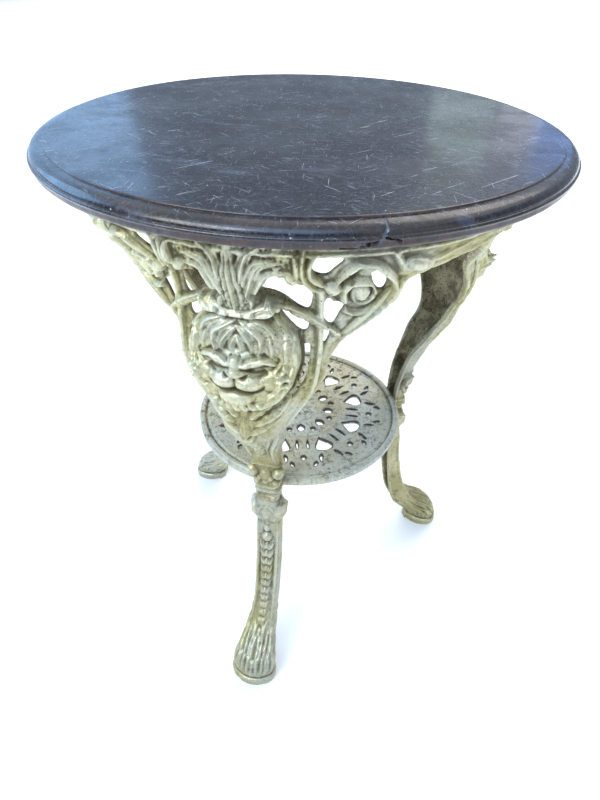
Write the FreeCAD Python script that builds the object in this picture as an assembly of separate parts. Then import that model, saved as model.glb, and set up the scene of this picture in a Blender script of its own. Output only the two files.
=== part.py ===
"""Round occasional table: moulded wood top, three cast-iron cabriole legs, pierced undershelf.

Frame: millimetres, +Z up, origin on the floor under the centre of the top.
The first leg stands at -Y and the other two follow every 120 degrees.
A casting is modelled in a leg frame, where +X runs outward along the leg,
+Y along the apron and +Z up, and is then turned to its place.
"""
import FreeCAD, Part
import math
import os

V = FreeCAD.Vector

# ---- driving dimensions ----
TABLE_HEIGHT = 730.0
TOP_RADIUS = 281.0
TOP_THICKNESS = 20.0
STEP_RADIUS = 264.5          # edge of the flat field, inside the moulding
STEP_DEPTH = 1.6

LEG_COUNT = 3
FIRST_LEG_ANGLE = -90.0
LEG_PITCH = 360.0 / LEG_COUNT
HALF_PITCH = LEG_PITCH / 2
BUTT_GAP = 0.02              # degrees left between two castings at an apron joint

WALL = 6.0                   # general thickness of the castings
APRON_RADIUS = 249.0
SEAT_THICKNESS = 7.0
SEAT_INNER_RADIUS = 222.0
ARCH_CROWN = 680.0           # height of the arch at the apron joint

SHELF_RADIUS = 150.5
SHELF_TOP = 329.0
SHELF_RIM_HEIGHT = 13.0
SHELF_PLATE = 6.0
SHELF_REPEAT = 9             # the pierced pattern repeats nine times
SHELF_PHASE = 38.0

FOOT_TOE = 279.5
FOOT_HALF_WIDTH = 33.0

MASK_HEIGHT = 577.0          # centre of the lion mask
MASK_OUT = 222.0
MASK_HALF_WIDTH = 54.0
MASK_HALF_HEIGHT = 61.0
MASK_DEPTH = 27.0

VOLUTE_ANGLE = 25.5
VOLUTE_HEIGHT = 650.0
VOLUTE_RADIUS = 17.0
RIB_RADIUS = 4.6

BOLT_HEAD_RADIUS = 7.5       # over the corners
BOLT_HEAD_HEIGHT = 5.3
WASHER_RADIUS = 8.5
WASHER_THICKNESS = 1.5
NUT_HEIGHT = 6.5
APRON_BOLT_RADIUS = 4.0
APRON_BOLT_HEIGHT = 692.0
APRON_BOLT_OUT = 229.0
APRON_BOLT_LENGTH = 26.0
FLANGE_THICKNESS = 8.0       # upright lugs that butt at each apron joint
FLANGE_INNER_RADIUS = 217.0
SHELF_BOLT_RADIUS = 4.0
SHELF_BOLT_OUT = 132.0
SHELF_BOLT_BITE = 8.0        # depth of the shelf bolts in their bosses
SHELF_LUG_THICKNESS = 8.0
SCREW_RADIUS = 2.2
SCREW_HEAD_RADIUS = 4.6
SCREW_HEAD_HEIGHT = 2.6
SCREW_OUT = 211.0
SCREW_ANGLE = 38.0
SCREW_BITE = 13.0            # depth of the screws in the wood
SCREW_POINT = 4.0

TOP_UNDERSIDE = TABLE_HEIGHT - TOP_THICKNESS
SHELF_UNDERSIDE = SHELF_TOP - SHELF_RIM_HEIGHT

# Apron and upper panel in section, from the top seat down: (radius, height) of the outer face.
PANEL_FACE = ((APRON_RADIUS, TOP_UNDERSIDE), (APRON_RADIUS, 704), (247, 702), (247, 690), (249.5, 688),
              (249.5, 684), (246, 681), (240, 670), (232, 656), (225, 642), (219, 628), (214, 612),
              (212, 600), (211, 588))

# Lower outline of the apron seen square on to a joint: (distance from the joint, height).
ARCH_OUTLINE = ((0, ARCH_CROWN), (20, 675), (45, 666), (70, 655), (82, 648), (83, 640), (81, 630),
                (87, 615), (106, 600), (121, 586), (128, 570), (130, 540))

# Channel section of the leg, from the apron down to the ankle:
# height, front, then (out, half-width) of the shoulder, the corner rib and the back edge.
LEG_SECTIONS = (
    (640, 228, (225, 45), (217, 71), (205, 84)),
    (612, 228, (224, 45), (215, 73), (194, 97)),
    (598, 228, (224, 45), (214, 74), (189, 99)),
    (585, 229, (225, 45), (213, 74), (192, 90)),
    (570, 230, (226, 44), (211, 73), (192, 82)),
    (540, 232, (226, 38), (206, 67), (188, 73)),
    (510, 230, (222, 30), (200, 54), (182, 59)),
    (480, 220, (212, 22), (194, 38), (170, 43)),
    (450, 202, (196, 16), (180, 26), (160, 30)),
    (425, 188, (183, 13), (169, 21), (158, 24)),
    (395, 180, (176, 13), (163, 20), (154, 21)),
    (345, 174, (170, 12), (160, 18), (150, 19)),
    (290, 173, (169, 12), (160, 17), (151, 18)),
    (230, 173, (169, 12), (160, 17), (151, 18)),
    (170, 182, (178, 12), (168, 17), (159, 18)),
    (130, 193, (189, 12), (177, 17), (166, 18)),
    (95, 207, (203, 12), (188, 18), (174, 19)),
    (75, 219, (214, 13), (198, 19), (184, 21)),
    (52, 240, (234, 16), (214, 22), (194, 24)),
)

# Hoof, from the ankle to the sole: height, back, toe, half-width.
HOOF_SECTIONS = (
    (62, 190, 232, 21),
    (45, 198, 250, 26),
    (30, 206, 266, 30),
    (14, 213, FOOT_TOE - 3, FOOT_HALF_WIDTH - 1),
    (11, 214, FOOT_TOE, FOOT_HALF_WIDTH),
    (0, 215, FOOT_TOE, FOOT_HALF_WIDTH),
)

# Openings of the fretwork on one side of a leg: angle, height, half-width, half-height, tilt.
FRET_OPENINGS = (
    (13.0, 657, 12, 6, -12),
    (11.8, 628, 6, 8, 20),
    (21.0, 637, 7, 5, -20),
    (20.5, 674, 8, 3.5, -5),
    (25.0, 667.5, 7, 3.0, 0),
    (32.4, 661, 3.5, 5.5, 15),
)


def polar(radius, angle, height=0.0):
    a = math.radians(angle)
    return V(radius * math.cos(a), radius * math.sin(a), height)


def turned(shape, angle):
    copy = shape.copy()
    copy.rotate(V(0, 0, 0), V(0, 0, 1), angle)
    return copy


def leg_angles():
    return [FIRST_LEG_ANGLE + LEG_PITCH * i for i in range(LEG_COUNT)]


def joint_angles():
    return [a + HALF_PITCH for a in leg_angles()]


def solid_of(shape):
    """The single solid of a boolean result."""
    return max(shape.Solids, key=lambda s: s.Volume)


def ring_sector(points, half_angle):
    """A section of (radius, height) points revolved from -half_angle to +half_angle."""
    section = [V(r, 0, z) for r, z in points]
    face = Part.Face(Part.makePolygon(section + section[:1]))
    face.rotate(V(0, 0, 0), V(0, 0, 1), -half_angle)
    return face.revolve(V(0, 0, 0), V(0, 0, 1), 2 * half_angle)


def ellipsoid(centre, out, wide, high):
    ball = Part.makeSphere(1.0)
    m = FreeCAD.Matrix()
    m.scale(V(out, wide, high))
    shape = ball.transformGeometry(m)
    shape.translate(centre)
    return shape


# ---- top ----

def table_top():
    """Turned board: flat field, small step, ovolo, nose bead and an upright edge below."""
    under = TOP_UNDERSIDE
    face = TABLE_HEIGHT
    rim = TABLE_HEIGHT - STEP_DEPTH
    edge = TOP_RADIUS - 2.0
    bead_foot = V(edge, 0, under + 6.5)
    bead_head = V(edge + 0.6, 0, under + 10)
    step_foot = V(STEP_RADIUS + 1.2, 0, rim)
    outline = [
        Part.makeLine(V(0, 0, under), V(edge - 2, 0, under)),
        Part.makeLine(V(edge - 2, 0, under), V(edge, 0, under + 2)),
        Part.makeLine(V(edge, 0, under + 2), bead_foot),
        Part.Arc(bead_foot, V(TOP_RADIUS, 0, under + 8.2), bead_head).toShape(),
        Part.Arc(bead_head, V(TOP_RADIUS - 5.5, 0, under + 15.6), step_foot).toShape(),
        Part.makeLine(step_foot, V(STEP_RADIUS, 0, rim)),
        Part.makeLine(V(STEP_RADIUS, 0, rim), V(STEP_RADIUS, 0, face)),
        Part.makeLine(V(STEP_RADIUS, 0, face), V(0, 0, face)),
        Part.makeLine(V(0, 0, face), V(0, 0, under)),
    ]
    section = Part.Face(Part.Wire(outline))
    board = section.revolve(V(0, 0, 0), V(0, 0, 1), 360)
    for screw in top_screws().Solids:
        board = board.cut(screw)
    return solid_of(board)


# ---- fasteners ----

def hexagon_head(radius, height, base):
    corners = [polar(radius, 60 * i, base) for i in range(7)]
    return Part.Face(Part.makePolygon(corners)).extrude(V(0, 0, height))


def washer(foot, bore):
    ring = Part.makeCylinder(WASHER_RADIUS, WASHER_THICKNESS, foot)
    return ring.cut(Part.makeCylinder(bore, WASHER_THICKNESS, foot))


def laid_along_apron(shape):
    """Turns an upright fastener so that it lies along the apron, through the joint at +60 degrees."""
    shape = shape.copy()
    shape.rotate(V(0, 0, 0), V(1, 0, 0), 90)
    shape.translate(V(APRON_BOLT_OUT, 0, APRON_BOLT_HEIGHT))
    return shape


def apron_bolts():
    bolts = []
    for angle in joint_angles():
        seat = -FLANGE_THICKNESS - WASHER_THICKNESS
        shank = Part.makeCylinder(APRON_BOLT_RADIUS, APRON_BOLT_LENGTH, V(0, 0, seat))
        head = hexagon_head(BOLT_HEAD_RADIUS, BOLT_HEAD_HEIGHT, seat - BOLT_HEAD_HEIGHT)
        bolts.append(turned(laid_along_apron(shank.fuse(head)), angle))
    return Part.makeCompound(bolts)


def apron_washers():
    washers = []
    for angle in joint_angles():
        for base in (-FLANGE_THICKNESS - WASHER_THICKNESS, FLANGE_THICKNESS):
            washers.append(turned(laid_along_apron(washer(V(0, 0, base), APRON_BOLT_RADIUS)), angle))
    return Part.makeCompound(washers)


def apron_nuts():
    nuts = []
    for angle in joint_angles():
        base = FLANGE_THICKNESS + WASHER_THICKNESS
        nut = hexagon_head(BOLT_HEAD_RADIUS, NUT_HEIGHT, base)
        nut = nut.cut(Part.makeCylinder(APRON_BOLT_RADIUS, NUT_HEIGHT, V(0, 0, base)))
        nuts.append(turned(laid_along_apron(nut), angle))
    return Part.makeCompound(nuts)


def shelf_bolts():
    """Hexagon bolts driven up through the leg lugs into bosses under the shelf."""
    seat = SHELF_UNDERSIDE - SHELF_LUG_THICKNESS - WASHER_THICKNESS
    length = WASHER_THICKNESS + SHELF_LUG_THICKNESS + SHELF_BOLT_BITE
    bolts = []
    for angle in leg_angles():
        shank = Part.makeCylinder(SHELF_BOLT_RADIUS, length, V(SHELF_BOLT_OUT, 0, seat))
        head = hexagon_head(BOLT_HEAD_RADIUS, BOLT_HEAD_HEIGHT, seat - BOLT_HEAD_HEIGHT)
        head.translate(V(SHELF_BOLT_OUT, 0, 0))
        bolts.append(turned(shank.fuse(head), angle))
    return Part.makeCompound(bolts)


def shelf_washers():
    foot = V(SHELF_BOLT_OUT, 0, SHELF_UNDERSIDE - SHELF_LUG_THICKNESS - WASHER_THICKNESS)
    return Part.makeCompound([turned(washer(foot, SHELF_BOLT_RADIUS), angle) for angle in leg_angles()])


def top_screws():
    """Countersunk wood screws, two in each casting, driven up into the board."""
    seat = TOP_UNDERSIDE - SEAT_THICKNESS
    screws = []
    for angle in leg_angles():
        for side in (-1, 1):
            foot = polar(SCREW_OUT, side * SCREW_ANGLE, seat)
            shank_length = SEAT_THICKNESS + SCREW_BITE
            head = Part.makeCone(SCREW_HEAD_RADIUS, SCREW_RADIUS, SCREW_HEAD_HEIGHT, foot)
            shank = Part.makeCylinder(SCREW_RADIUS, shank_length - SCREW_HEAD_HEIGHT - SCREW_POINT,
                                      foot + V(0, 0, SCREW_HEAD_HEIGHT))
            point = Part.makeCone(SCREW_RADIUS, 0.3, SCREW_POINT, foot + V(0, 0, shank_length - SCREW_POINT))
            screws.append(turned(head.fuse(shank).fuse(point), angle))
    return Part.makeCompound(screws)


# ---- leg casting ----

def panel():
    """Curved apron with the panel below it and the seat on top, before the arches are cut."""
    inner = [(r - WALL - 1, z) for r, z in reversed(PANEL_FACE) if z < 690]
    seat_under = TOP_UNDERSIDE - SEAT_THICKNESS
    inner += [(APRON_RADIUS - 9, 690), (APRON_RADIUS - 9, seat_under),
              (SEAT_INNER_RADIUS, seat_under), (SEAT_INNER_RADIUS, TOP_UNDERSIDE)]
    return ring_sector(list(PANEL_FACE) + inner, HALF_PITCH - BUTT_GAP)


def arch_cutter(side):
    """Half arch next to one joint, cut square to that joint and right down past the panel."""
    outline = list(ARCH_OUTLINE) + [(130, 480), (-20, 480), (-20, ARCH_CROWN)]
    corners = [V(100, -side * s, z) for s, z in outline]
    prism = Part.Face(Part.makePolygon(corners + corners[:1])).extrude(V(200, 0, 0))
    return turned(prism, side * HALF_PITCH)


def channel():
    """Open-backed channel that forms the knee, the shaft and the ankle."""
    rings = []
    for height, front, shoulder, corner, back in LEG_SECTIONS:
        outer = [back, corner, shoulder, (front, 0)]
        thin = WALL / math.sqrt(2)
        inner = [(back[0], back[1] - WALL), (corner[0] - thin * 0.6, corner[1] - WALL),
                 (shoulder[0] - WALL, shoulder[1] - thin * 0.5), (front - WALL, 0)]
        right = [V(u, t, height) for u, t in outer]
        left = [V(u, -t, height) for u, t in reversed(outer[:-1])]
        inner_left = [V(u, -t, height) for u, t in inner]
        inner_right = [V(u, t, height) for u, t in reversed(inner[:-1])]
        loop = right + left + inner_left + inner_right
        rings.append(Part.makePolygon(loop + loop[:1]))
    return Part.makeLoft(rings, True, True)


def hoof():
    """Flared hoof with an upright sole rim, hollow at the heel."""
    rings = []
    for height, back, toe, half in HOOF_SECTIONS:
        length = toe - back
        side = [(back, 0.75), (back + 0.35 * length, 1.0), (back + 0.75 * length, 0.92), (toe - 1.5, 0.5)]
        right = [V(u, half * k, height) for u, k in side]
        left = [V(u, -half * k, height) for u, k in reversed(side)]
        loop = right + [V(toe, 0, height)] + left
        rings.append(Part.makePolygon(loop + loop[:1]))
    body = Part.makeLoft(rings, True, True)
    hollow = Part.makeBox(40, 30, 36, V(196, -15, 8))
    hollow.rotate(V(196, 0, 8), V(0, 1, 0), -8)
    return body.cut(hollow)


def mask_outside():
    """Lion mask as a dome with muzzle, nose, brows, beard and the edge of the mane."""
    dome = ellipsoid(V(MASK_OUT, 0, MASK_HEIGHT), MASK_DEPTH, MASK_HALF_WIDTH, MASK_HALF_HEIGHT)
    features = [
        ellipsoid(V(244, 0, 556), 15, 21, 14),
        ellipsoid(V(245, 0, 574), 9, 8, 22),
        ellipsoid(V(237, 0, 531), 13, 20, 18),
    ]
    for side in (-1, 1):
        features.append(ellipsoid(V(242, side * 17, 588), 8, 14, 6))
    return dome.multiFuse(features)


def mask_hollow():
    inside = ellipsoid(V(MASK_OUT - 2, 0, MASK_HEIGHT), MASK_DEPTH - WALL, MASK_HALF_WIDTH - WALL,
                       MASK_HALF_HEIGHT - WALL)
    way_out = Part.makeCylinder(1.0, 60, V(MASK_OUT - 60, 0, 0), V(1, 0, 0))
    m = FreeCAD.Matrix()
    m.scale(V(1, MASK_HALF_WIDTH - 2 * WALL, MASK_HALF_HEIGHT - 2 * WALL))
    way_out = way_out.transformGeometry(m)
    way_out.translate(V(0, 0, MASK_HEIGHT))
    return inside.fuse(way_out)


def palmette():
    """Fan of five fronds over the mask, rising from a rolled collar."""
    collar = ellipsoid(V(238, 0, 641), 13, 29, 8)
    fronds = []
    for lean in (-62, -31, 0, 31, 62):
        frond = ellipsoid(V(0, 0, 20), 6, 7, 23)
        frond.rotate(V(0, 0, 0), V(1, 0, 0), lean)
        frond.rotate(V(0, 0, 0), V(0, 1, 0), 14)
        frond.translate(V(241 - abs(lean) / 12, 0, 642))
        fronds.append(frond)
    return collar.multiFuse(fronds)


def volute(side):
    """Scroll on the panel beside the mask: a rolled ring round a rosette eye."""
    ring = Part.makeTorus(VOLUTE_RADIUS, 3.6, V(0, 0, 0), V(1, 0, 0))
    eye = Part.makeSphere(8.5)
    shape = ring.fuse(eye)
    shape.rotate(V(0, 0, 0), V(0, 1, 0), 28)
    shape.translate(V(231, 0, VOLUTE_HEIGHT))
    return turned(shape, side * VOLUTE_ANGLE)


def corner_rib(side):
    """Rib down the corner of the knee, six-sided in section."""
    rings = []
    for height, _, _, corner, _ in LEG_SECTIONS[:8]:
        ring = [polar(RIB_RADIUS, 60 * i + 25, height) + V(corner[0] + 0.7, side * (corner[1] + 0.4), 0)
                for i in range(6)]
        rings.append(Part.makePolygon(ring + ring[:1]))
    return Part.makeLoft(rings, True, True)


def fret_cutters():
    cutters = []
    for angle, height, half_width, half_height, tilt in FRET_OPENINGS:
        for side in (-1, 1):
            hole = Part.makeCylinder(1.0, 80, V(180, 0, 0), V(1, 0, 0))
            m = FreeCAD.Matrix()
            m.scale(V(1, half_width, half_height))
            hole = hole.transformGeometry(m)
            hole.rotate(V(0, 0, 0), V(1, 0, 0), -side * tilt)
            hole.translate(V(0, 0, height))
            cutters.append(turned(hole, side * angle))
    return cutters


def butt_flange(side):
    """Upright lug at the end of the apron, bolted to the next casting."""
    low = ARCH_CROWN + 1.0
    high = TOP_UNDERSIDE - SEAT_THICKNESS + 2.0
    corner = V(FLANGE_INNER_RADIUS, -FLANGE_THICKNESS if side > 0 else 0, low)
    plate = Part.makeBox(APRON_RADIUS - WALL - 1 - FLANGE_INNER_RADIUS, FLANGE_THICKNESS, high - low, corner)
    return turned(plate, side * (HALF_PITCH - BUTT_GAP))


def screw_lug(side):
    seat = TOP_UNDERSIDE - SEAT_THICKNESS
    pad = Part.makeCylinder(12, SEAT_THICKNESS, polar(SCREW_OUT, side * SCREW_ANGLE, seat))
    web = Part.makeBox(20, 24, SEAT_THICKNESS, V(SCREW_OUT, -12, seat))
    return pad.fuse(turned(web, side * SCREW_ANGLE))


def shelf_lug():
    """Tongue from the back of the shaft that carries the shelf, with a rib under it."""
    top = SHELF_UNDERSIDE
    tongue = Part.makeBox(50, 24, SHELF_LUG_THICKNESS, V(120, -12, top - SHELF_LUG_THICKNESS))
    rib_outline = [V(170, -4, top - 2), V(145, -4, top - 2), V(145, -4, top - 10), V(170, -4, top - 34)]
    rib = Part.Face(Part.makePolygon(rib_outline + rib_outline[:1])).extrude(V(0, 8, 0))
    return tongue.fuse(rib)


def leg_casting():
    apron = panel().cut(arch_cutter(1)).cut(arch_cutter(-1))
    additions = [channel(), hoof(), mask_outside(), palmette(), shelf_lug()]
    for side in (-1, 1):
        additions += [volute(side), butt_flange(side), screw_lug(side), corner_rib(side)]
    casting = apron.multiFuse(additions)
    cutters = [mask_hollow()] + fret_cutters()
    cutters.append(Part.makeCylinder(SHELF_RADIUS + 0.1, SHELF_RIM_HEIGHT + 0.5, V(0, 0, SHELF_UNDERSIDE)))
    cutters.append(Part.makeCylinder(SHELF_BOLT_RADIUS, 30, V(SHELF_BOLT_OUT, 0, SHELF_UNDERSIDE - 20)))
    bolt_hole = laid_along_apron(Part.makeCylinder(APRON_BOLT_RADIUS, 60, V(0, 0, -30)))
    cutters += [turned(bolt_hole, side * HALF_PITCH) for side in (-1, 1)]
    cutters += [turned(s, -FIRST_LEG_ANGLE) for s in top_screws().Solids[:2]]
    return solid_of(casting.cut(cutters))


# ---- undershelf ----

def tulip_hole(angle):
    """Tulip-shaped hole: wide rounded lobe outside, point towards the centre."""
    right = [(73, 0), (80, 5.5), (88, 10.5), (95, 7.5), (93, 0)]
    left = [(r, -t) for r, t in reversed(right[1:-1])]
    corners = [V(r, t, 300) for r, t in right + left]
    return turned(Part.Face(Part.makePolygon(corners + corners[:1])).extrude(V(0, 0, 40)), angle)


def leaf_slit(radius, angle, length, width, slant):
    half = Part.makePolygon([V(-length / 2, 0, 0), V(0, width / 2, 0), V(length / 2, 0, 0),
                             V(0, -width / 2, 0), V(-length / 2, 0, 0)])
    slit = Part.Face(half).extrude(V(0, 0, 40))
    slit.rotate(V(0, 0, 0), V(0, 0, 1), slant)
    slit.translate(V(radius, 0, 300))
    return turned(slit, angle)


def undershelf():
    """Cast disc: rolled rim, flat border, pierced band of tulips and leaves, centre rosette."""
    top = SHELF_TOP
    plate_top = top - 3.5
    plate_under = plate_top - SHELF_PLATE
    outline = [(0, plate_under), (139, plate_under), (143, SHELF_UNDERSIDE), (149, SHELF_UNDERSIDE),
               (SHELF_RADIUS, SHELF_UNDERSIDE + 3), (SHELF_RADIUS, top - 3), (148.5, top), (144.5, top),
               (142.5, plate_top - 1.2), (140, plate_top - 1.2),
               (139, plate_top + 0.8), (137.5, plate_top + 0.8), (136, plate_top),
               (66, plate_top), (65, plate_top + 1.5), (61, plate_top + 1.5), (60, plate_top),
               (24, plate_top), (20, plate_top + 3), (0, plate_top + 4)]
    section = [V(r, 0, z) for r, z in outline]
    disc = Part.Face(Part.makePolygon(section + section[:1])).revolve(V(0, 0, 0), V(0, 0, 1), 360)
    bosses = []
    for angle in leg_angles():
        foot = polar(SHELF_BOLT_OUT, angle, SHELF_UNDERSIDE)
        bosses.append(Part.makeCylinder(11, plate_under - SHELF_UNDERSIDE + 1, foot))
    disc = disc.multiFuse(bosses)
    step = 360.0 / SHELF_REPEAT
    cutters = []
    for i in range(SHELF_REPEAT):
        angle = FIRST_LEG_ANGLE + SHELF_PHASE + step * i
        cutters.append(tulip_hole(angle))
        cutters.append(Part.makeCylinder(3.4, 40, polar(106, angle + step / 2, 300)))
        cutters.append(leaf_slit(107, angle - 7, 15, 4.5, 35))
        cutters.append(leaf_slit(107, angle + 7, 15, 4.5, -35))
        cutters.append(leaf_slit(80, angle + step / 2, 17, 4.5, 0))
        cutters.append(leaf_slit(43, angle + step / 2, 17, 7, 0))
        cutters.append(leaf_slit(51, angle, 8, 4, 90))
    cutters += shelf_bolts().Solids
    return solid_of(disc.cut(cutters))


def save(name, shape):
    shape.exportStep(os.path.join("parts", name + ".step"))
    box = shape.BoundBox
    volume = round(shape.Volume / 1000.0, 1)
    print(name, len(shape.Solids), "solids, valid", shape.isValid(), volume, "cm3, z",
          round(box.ZMin, 1), round(box.ZMax, 1))


def main():
    os.makedirs("parts", exist_ok=True)
    save("table_top", table_top())
    casting = leg_casting()
    for name, angle in zip(("leg_front", "leg_right", "leg_left"), leg_angles()):
        save(name, turned(casting, angle))
    save("undershelf", undershelf())
    save("apron_bolts", apron_bolts())
    save("apron_washers", apron_washers())
    save("apron_nuts", apron_nuts())
    save("shelf_bolts", shelf_bolts())
    save("shelf_washers", shelf_washers())
    save("top_screws", top_screws())


main()
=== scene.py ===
"""Looks of the round occasional table: relief castings, pierced undershelf and worn polished top.

Sizes are in millimetres unless a name says otherwise, and become metres when a mesh is made.
A casting is sculpted as a sheet: x runs across it from the middle, z runs up, and the relief
stands on a smooth channel-shaped base surface.
"""
import math
import bmesh
import bpy
import numpy as np
from mathutils import Matrix, Quaternion, Vector


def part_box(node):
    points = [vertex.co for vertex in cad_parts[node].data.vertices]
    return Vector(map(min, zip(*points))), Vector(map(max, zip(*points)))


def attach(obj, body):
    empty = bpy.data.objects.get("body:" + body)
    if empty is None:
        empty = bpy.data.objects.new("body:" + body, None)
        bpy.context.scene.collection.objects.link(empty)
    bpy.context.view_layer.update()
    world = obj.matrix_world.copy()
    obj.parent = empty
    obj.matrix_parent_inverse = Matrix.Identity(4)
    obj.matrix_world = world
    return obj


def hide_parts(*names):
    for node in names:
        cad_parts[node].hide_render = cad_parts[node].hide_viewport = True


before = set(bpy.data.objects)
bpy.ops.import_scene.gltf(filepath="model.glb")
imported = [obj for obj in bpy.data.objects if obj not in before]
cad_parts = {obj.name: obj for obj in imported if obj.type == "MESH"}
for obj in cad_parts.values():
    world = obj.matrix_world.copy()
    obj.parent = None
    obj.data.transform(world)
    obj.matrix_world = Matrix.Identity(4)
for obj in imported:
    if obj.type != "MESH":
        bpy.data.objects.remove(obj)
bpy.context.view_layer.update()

MM = 0.001
SHARP_ANGLE = math.radians(48)
LEG_ANGLES = {"leg_front": -90, "leg_right": 30, "leg_left": 150}
rng = np.random.default_rng(11)

TABLE_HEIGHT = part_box("table_top")[1].z / MM
TOP_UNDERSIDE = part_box("table_top")[0].z / MM
TOP_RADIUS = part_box("table_top")[1].x / MM
SHELF_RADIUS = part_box("undershelf")[1].x / MM
SHELF_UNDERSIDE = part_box("undershelf")[0].z / MM
SHELF_RIM_TOP = SHELF_UNDERSIDE + 13
SHELF_PLATE_TOP = SHELF_RIM_TOP - 3.5
SHELF_PLATE = 6         # thickness between the bosses
FRET_STEP = 0.9       # spacing of the shelf's grid


# ---- numbers and curves

def ease(v):
    v = np.clip(v, 0, 1)
    return v * v * (3 - 2 * v)


def bead(offset, half, rise, power=0.6):
    """Height of a rounded ridge, at an offset from its middle line."""
    return np.clip(1 - (offset / half) ** 2, 0, 1) ** power * rise


def spaced(*marks):
    """Grid lines through marks of (place, spacing up to the next mark)."""
    runs = []
    for (a, step), (b, _) in zip(marks[:-1], marks[1:]):
        runs.append(np.linspace(a, b, max(1, round(abs(b - a) / step)), endpoint=False))
    return np.concatenate(runs + [[marks[-1][0]]])


def blur(values, sigma_rows, sigma_columns):
    """Gaussian blur with mirrored edges."""
    for axis, sigma in ((0, sigma_rows), (1, sigma_columns)):
        reach = max(1, int(3 * sigma))
        k = np.exp(-0.5 * (np.arange(-reach, reach + 1) / sigma) ** 2)
        k /= k.sum()
        pad = [(0, 0), (0, 0)]
        pad[axis] = (reach, reach)
        padded = np.pad(values, pad, mode="reflect" if reach < values.shape[axis] else "edge")
        out = np.zeros_like(values)
        n = values.shape[axis]
        for i, weight in enumerate(k):
            out += weight * (padded[i:i + n] if axis == 0 else padded[:, i:i + n])
        values = out
    return values


def spline(points, per_span=7):
    """A smooth curve through the points."""
    p = np.array(points, float)
    if len(p) < 3:
        t = np.linspace(0, 1, per_span + 1)[:, None]
        return p[0] * (1 - t) + p[1] * t
    ends = np.vstack([2 * p[0] - p[1], p, 2 * p[-1] - p[-2]])
    out = []
    t = np.linspace(0, 1, per_span, endpoint=False)[:, None]
    for a, b, c, d in zip(ends[:-3], ends[1:-2], ends[2:-1], ends[3:]):
        out.append(0.5 * (2 * b + (c - a) * t + (2 * a - 5 * b + 4 * c - d) * t ** 2
                          + (3 * b - a - 3 * c + d) * t ** 3))
    return np.vstack(out + [p[-1:]])


def from_span(X, Z, a, b):
    """Share of the span from a to b at which each point is nearest to it, and the offsets from there."""
    d = b - a
    t = np.clip(((X - a[0]) * d[0] + (Z - a[1]) * d[1]) / max(d @ d, 1e-9), 0, 1)
    return t, X - a[0] - t * d[0], Z - a[1] - t * d[1]


TAPERS = {
    "even": lambda s: np.ones_like(s),
    "both": lambda s: np.sin(np.pi * np.clip(s, 0, 1)) ** 0.55 + 1e-3,
    "tip": lambda s: np.clip(1 - s, 0, 1) ** 0.6 + 1e-3,
    "leaf": lambda s: np.sin(np.pi * np.clip(s, 0, 1) ** 0.7) ** 0.8 + 1e-3,
}


# ---- relief sheets

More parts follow.
